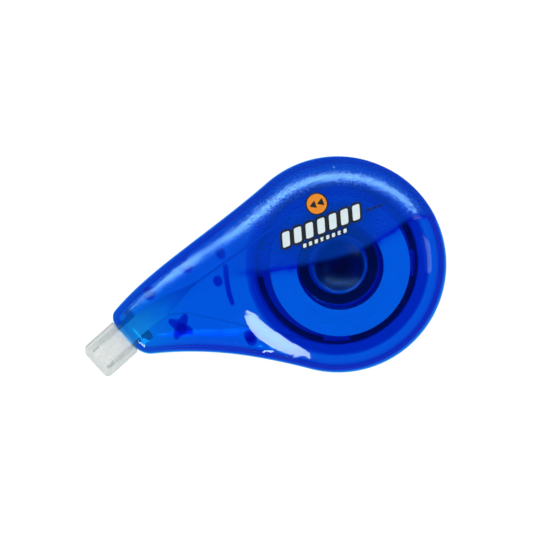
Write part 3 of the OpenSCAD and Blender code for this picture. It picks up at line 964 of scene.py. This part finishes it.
def blade_place(u, level):
    """Middle of the tape over the blade, u out from the nose's mouth; level 1 is its front face."""
    half = mix(HEAD_ROOT_T, BLADE_TIP_T, min(max(u / BLADE_L, 0), 1)) + TAPE_CLEAR
    plan = NOSE + u * OUT_DIR
    return (plan[0], plan[1], PARTING_Z + level * half)


def tangent_point(start, r, side):
    """Where a line from start touches a circle about the reel axis."""
    away = math.degrees(math.atan2(-start[1], -start[0]))
    length = math.sqrt(start @ start - r * r)
    turn = away + side * math.degrees(math.asin(r / math.sqrt(start @ start)))
    return start + length * polar(1, turn)


def feed_run():
    """White tape: round the blade's tip, back over it and across the neck to the supply roll."""
    tip_u = BLADE_L - BLADE_TIP_T
    tip = np.array([*(NOSE + tip_u * OUT_DIR), PARTING_Z])
    rings = []
    for a in np.radians(np.arange(-90, 80, 15)):
        normal = np.array([*(OUT_DIR * math.cos(a)), math.sin(a)])
        centre = tip + normal * (BLADE_TIP_T + TAPE_CLEAR)
        rings.append(tape_section(centre, np.array([*SIDE_DIR, 0]), normal))
    for u in np.linspace(tip_u, 0, 12):
        rings.append(tape_ring(blade_place(u, 1), -OUT_DIR, 0))
    start = NOSE + INSIDE_U * OUT_DIR
    end = tangent_point(start, SUPPLY_R + ROLL_GAP, 1)
    along = (end - start) / np.linalg.norm(end - start)
    z_start, z_end = PARTING_Z + HEAD_ROOT_T + TAPE_CLEAR, sum(SUPPLY_Z) / 2
    for f in np.linspace(0, 1, 60):
        plan = mix(start, end, f)
        z = mix(z_start, z_end, ease(f / FEED_RISE_END))
        rings.append(tape_ring((*plan, z), along, 90 * ease(f / FEED_TWIST_END)))
    ribbon("feed_tape", rings, TAPE, "tape_feed_run")


def return_run():
    """Bare backing film: under the blade, round the star boss and back to the take-up reel."""
    rings = [tape_ring(blade_place(u, -1), -OUT_DIR, 0) for u in np.linspace(BLADE_L - BLADE_TIP_T, 0, 12)]
    start = NOSE + INSIDE_U * OUT_DIR
    end = tangent_point(RETURN_BEND, TAKEUP_R + ROLL_GAP, -1)
    z_start, z_bend = PARTING_Z - HEAD_ROOT_T - TAPE_CLEAR, PARTING_Z - RETURN_BEND_DROP
    along = (RETURN_BEND - start) / np.linalg.norm(RETURN_BEND - start)
    for f in np.linspace(0, 0.97, 30):
        z = mix(z_start, z_bend, ease(f))
        rings.append(tape_ring((*mix(start, RETURN_BEND, f), z), along, 90 * ease(f / RETURN_TWIST_END)))
    along = (end - RETURN_BEND) / np.linalg.norm(end - RETURN_BEND)
    for f in np.linspace(0.02, 1, 24):
        z = mix(z_bend, sum(TAKEUP_Z) / 2, ease(f / RETURN_DROP_END))
        rings.append(tape_ring((*mix(RETURN_BEND, end, f), z), along, 90))
    ribbon("return_film", rings, FILM, "tape_return_run")


ROLL_INNER_R = {"supply": 9.66, "takeup": 17.76}


def wound_roll(name, node_name, body, material, turns):
    """Wound tape: a ring whose faces show its turns as fine uneven steps."""
    low, high = box_mm(node_name)
    inner = ROLL_INNER_R[body]
    draw = np.random.default_rng(7)
    edges = np.linspace(inner, high[0], turns + 1)
    faces_z = []
    for z, way in ((low[2], 1), (high[2], -1)):
        face = [(edges[0], z)]
        for k in range(turns):
            level = z + way * draw.uniform(0, 0.06)
            face += [(edges[k] + 0.01, level), (edges[k + 1] - 0.01, level)]
        face[-1] = (edges[-1], face[-1][1])
        faces_z.append(face[1:])
    profile = faces_z[0] + faces_z[1][::-1]
    obj = lathe(name, profile, material, body)
    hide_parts(node_name)


REEL_BORE_R = 3.05
SHAFT_R = 4.3
SHAFT_END_R = 3.9
SHAFT_END_L = 0.8
WEB_T = 0.8
CORE_WALL_R = 17.3
CORE_WALL_HALF_T = 0.4
CORE_WALL_TOP = 7.2


def takeup_reel():
    """Spool for the spent film: web and shaft, and four arc walls."""
    web_low, top = box_mm("takeup_reel")[0][2], box_mm("takeup_reel")[1][2]
    web_r = box_mm("takeup_reel")[1][0]
    profile = [(REEL_BORE_R, web_low), (web_r, web_low), (web_r, web_low + WEB_T),
               (SHAFT_R, web_low + WEB_T), (SHAFT_R, top - SHAFT_END_L), (SHAFT_END_R, top - SHAFT_END_L),
               (SHAFT_END_R, top), (REEL_BORE_R, top)]
    reel = lathe("takeup_web", round_outline(profile, 0.14, 3), DARK_REEL, "takeup")
    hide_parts("takeup_reel")
    for k in range(4):
        outline = arc_outline(CORE_WALL_R, CORE_WALL_HALF_T, 90 * k - 10, 90 * k + 60, False)
        prism(f"takeup_wall_{k}", outline, web_low + 0.75, CORE_WALL_TOP, WALL_REEL, "takeup")


feed_run()
return_run()
takeup_reel()
wound_roll("white_tape_roll", "supply_tape_roll", "supply", TAPE, 26)
wound_roll("spent_film_roll", "takeup_tape_roll", "takeup", WALL_REEL, 3)

# ----------------------------------------------------------------- printed front


def plate(name, outline, layer, material):
    """Thin printed shape on the front face, one layer above the last."""
    loop = np.array(outline)
    plan, faces, _ = fill_plan(loop, 0.45)
    count = len(plan)
    base = PARTING_Z + front_height(plan)
    points = np.concatenate([np.column_stack([plan, base + PRINT_T * (layer + 0.9)]),
                             np.column_stack([plan, base - 0.05])])
    ends = {}
    for face in faces:
        for i in range(len(face)):
            a, b = face[i], face[(i + 1) % len(face)]
            ends[(a, b)] = ends.get((a, b), 0) + 1
    rim = [(a, b) for a, b in ends if (b, a) not in ends]
    all_faces = [tuple(f) for f in faces] + [tuple(count + i for i in f[::-1]) for f in faces]
    all_faces += [(b, a, a + count, b + count) for a, b in rim]
    return add_mesh(name, points, all_faces, material, "casing")


def grown(outline, by):
    """Outline moved outwards by a distance."""
    made = []
    centre = np.mean(outline, axis=0)
    for k, p in enumerate(outline):
        along = outline[(k + 1) % len(outline)] - outline[k - 1]
        normal = np.array([along[1], -along[0]]) / max(np.linalg.norm(along), 1e-9)
        if normal @ (p - centre) < 0:
            normal = -normal
        made.append(p + normal * by)
    return made


def outlined(name, shape, dark, fill):
    """Printed shape in a dark outline."""
    plate(f"{name}_dark", grown(shape, dark), 1, INK_BLACK)
    plate(name, shape, 2, fill)


def slanted_bar(x, y, width, height, slant, corner):
    """Upright bar that leans to the right."""
    return round_outline([(x, y), (x + width, y), (x + width + slant, y + height), (x + slant, y + height)],
                         corner)


DISC_AT = (-0.3, 15.0)
DISC_R = 2.2
POINTER_PITCH = 1.75
POINTER_L = 1.5
POINTER_HALF_W = 0.9


def print_marks():
    """Orange disc with a pointer to the nose, two rows of pale bars and a few dark dashes."""
    x, y = DISC_AT
    outlined("disc", [polar(DISC_R, a) + np.array([x, y]) for a in range(0, 360, 12)], 0.3, INK_ORANGE)
    for k in range(2):
        left = x + POINTER_PITCH * (k - 1)
        right = left + POINTER_L
        corners = [(left, y), (right, y - POINTER_HALF_W), (right, y + POINTER_HALF_W)]
        plate(f"disc_pointer_{k}", round_outline(corners, 0.25), 3, INK_BLACK)
    for k in range(7):
        left = -10.6 + 2.75 * k
        outlined(f"bar_{k}", slanted_bar(left, 8.4 + 0.04 * k, 1.7, 3.2, 0.9, 0.45), 0.5, INK_WHITE)
    for k in range(8):
        left = -6.4 + 1.35 * k
        outlined(f"small_bar_{k}", slanted_bar(left, 6.85, 0.75, 0.85, 0.22, 0.2), 0.28, INK_WHITE)
    for k in range(3):
        plate(f"dash_{k}", slanted_bar(9.4 + 1.35 * k, 9.6, 1.0, 0.4, 0.05, 0.1), 0, INK_BLACK)


print_marks()

# --------------------------------------------------------------- CAD nodes kept

KEPT = {"applicator_head": HEAD, "supply_reel": REEL, "clutch_disc": REEL, "clutch_ring": RUBBER,
        "thrust_washer": WASHER, "retaining_collar": WALL_REEL, "head_cap": CLEAR}


def finish_node(name, material):
    """Gives a CAD node its material and softens its edges."""
    obj = frame["nodes"][name]
    obj.data.materials.clear()
    obj.data.materials.append(material)
    weld = obj.modifiers.new("weld", "WELD")
    weld.merge_threshold = 1e-6
    bevel = obj.modifiers.new("edges", "BEVEL")
    bevel.width = 0.08 * MM
    bevel.segments = 2
    bevel.limit_method = "ANGLE"
    bevel.angle_limit = math.radians(40)


for node_name, node_material in KEPT.items():
    finish_node(node_name, node_material)

# --------------------------------------------------- floor, world, lights, camera

VIEW_TURN = math.radians(20)
RIGHT = Vector((math.cos(VIEW_TURN), -math.sin(VIEW_TURN), 0))
UP = Vector((math.sin(VIEW_TURN), math.cos(VIEW_TURN), 0))
TARGET = Vector((-15.16, 5.06, PARTING_Z)) * MM
FRAME_W = 118.75 * MM
CAMERA_L = 0.6
LIGHT_AWAY = 0.5
TILT = math.radians(6)
TILT_TO = math.radians(127)


def sky_direction(turn, height):
    """Unit vector at a turn round the view, 0 to its right and 90 up, and a height above the floor."""
    turn, height = math.radians(turn), math.radians(height)
    flat = RIGHT * math.cos(turn) + UP * math.sin(turn)
    return flat * math.cos(height) + Vector((0, 0, math.sin(height)))


def add_floor():
    size = 1.5
    mesh = bpy.data.meshes.new("floor")
    mesh.from_pydata([(-size, -size, -0.00005), (size, -size, -0.00005), (size, size, -0.00005),
                      (-size, size, -0.00005)], [], [(0, 1, 2, 3)])
    obj = bpy.data.objects.new("floor", mesh)
    bpy.context.scene.collection.objects.link(obj)
    material, tree, output = new_material("floor_paper")
    glow = node(tree, "ShaderNodeEmission", Color=(1, 1, 1, 1), Strength=0.93)
    lit = node(tree, "ShaderNodeBsdfDiffuse", Color=(0.14, 0.14, 0.14, 1))
    both = tree.nodes.new("ShaderNodeAddShader")
    tree.links.new(glow.outputs[0], both.inputs[0])
    tree.links.new(lit.outputs[0], both.inputs[1])
    tree.links.new(both.outputs[0], output.inputs["Surface"])
    mesh.materials.append(material)
    obj.visible_glossy = False


def add_world():
    """Pale surroundings, dim overhead so that flat faces don't mirror them."""
    world = bpy.data.worlds.new("studio")
    bpy.context.scene.world = world
    world.use_nodes = True
    tree = world.node_tree
    tree.nodes.clear()
    place = tree.nodes.new("ShaderNodeTexCoord")
    split = node(tree, "ShaderNodeSeparateXYZ", Vector=place.outputs["Generated"])
    ramp = tree.nodes.new("ShaderNodeValToRGB")
    ramp.color_ramp.elements[0].position = 0.0
    ramp.color_ramp.elements[0].color = (0.22, 0.22, 0.22, 1)
    ramp.color_ramp.elements[1].position = 0.8
    ramp.color_ramp.elements[1].color = (0.01, 0.01, 0.01, 1)
    tree.links.new(split.outputs["Z"], ramp.inputs[0])
    dim = node(tree, "ShaderNodeBackground", Color=ramp.outputs[0], Strength=1.0)
    white = node(tree, "ShaderNodeBackground", Color=(1, 1, 1, 1), Strength=1.0)
    path = tree.nodes.new("ShaderNodeLightPath")
    both = mix_shaders(tree, path.outputs["Is Camera Ray"], dim.outputs[0], white.outputs[0])
    output = tree.nodes.new("ShaderNodeOutputWorld")
    tree.links.new(both, output.inputs["Surface"])


def add_light(name, turn, height, size, radiance, mirrored, colour=(1, 1, 1)):
    """Soft rectangular light. A mirrored one only shows in gloss, the others only light what is matt."""
    data = bpy.data.lights.new(name, "AREA")
    data.shape = "RECTANGLE"
    data.size, data.size_y = size
    data.energy = radiance * math.pi * size[0] * size[1]
    data.color = colour
    obj = bpy.data.objects.new(name, data)
    bpy.context.scene.collection.objects.link(obj)
    direction = sky_direction(turn, height)
    obj.location = TARGET + direction * LIGHT_AWAY
    obj.rotation_mode = "QUATERNION"
    obj.rotation_quaternion = direction.to_track_quat("Z", "Y")
    obj.visible_diffuse = not mirrored
    obj.visible_transmission = not mirrored
    obj.visible_glossy = mirrored
    obj.visible_camera = False


def add_camera():
    data = bpy.data.cameras.new("camera")
    obj = bpy.data.objects.new("camera", data)
    bpy.context.scene.collection.objects.link(obj)
    data.sensor_width = 36
    data.lens = 36 * CAMERA_L / FRAME_W
    lean = RIGHT * math.cos(TILT_TO) + UP * math.sin(TILT_TO)
    back = Vector((0, 0, math.cos(TILT))) + lean * math.sin(TILT)
    right = UP.cross(back).normalized()
    up = back.cross(right)
    obj.matrix_world = Matrix.Translation(TARGET + back * CAMERA_L) @ Matrix(
        (right, up, back)).transposed().to_4x4()
    data.clip_start, data.clip_end = 0.01, 10
    bpy.context.scene.camera = obj


add_floor()
add_world()
add_light("fill_top", 90, 55, (0.5, 0.4), 2.9, False)
add_light("fill_left", 215, 50, (0.4, 0.4), 2.3, False)
add_light("fill_right", 330, 50, (0.4, 0.4), 1.75, False)
add_light("card_top", 86, 50, (1.0, 0.15), 19.0, True, (0.9, 0.97, 1.0))
add_light("card_lower_left", 243, 28, (0.23, 0.16), 14.0, True)
add_light("card_right", 0, 45, (0.12, 0.12), 2.0, True)
add_camera()

scene = bpy.context.scene
scene.view_settings.view_transform = "Standard"
scene.cycles.transparent_max_bounces = 40
scene.cycles.max_bounces = 14
scene.cycles.sample_clamp_indirect = 8
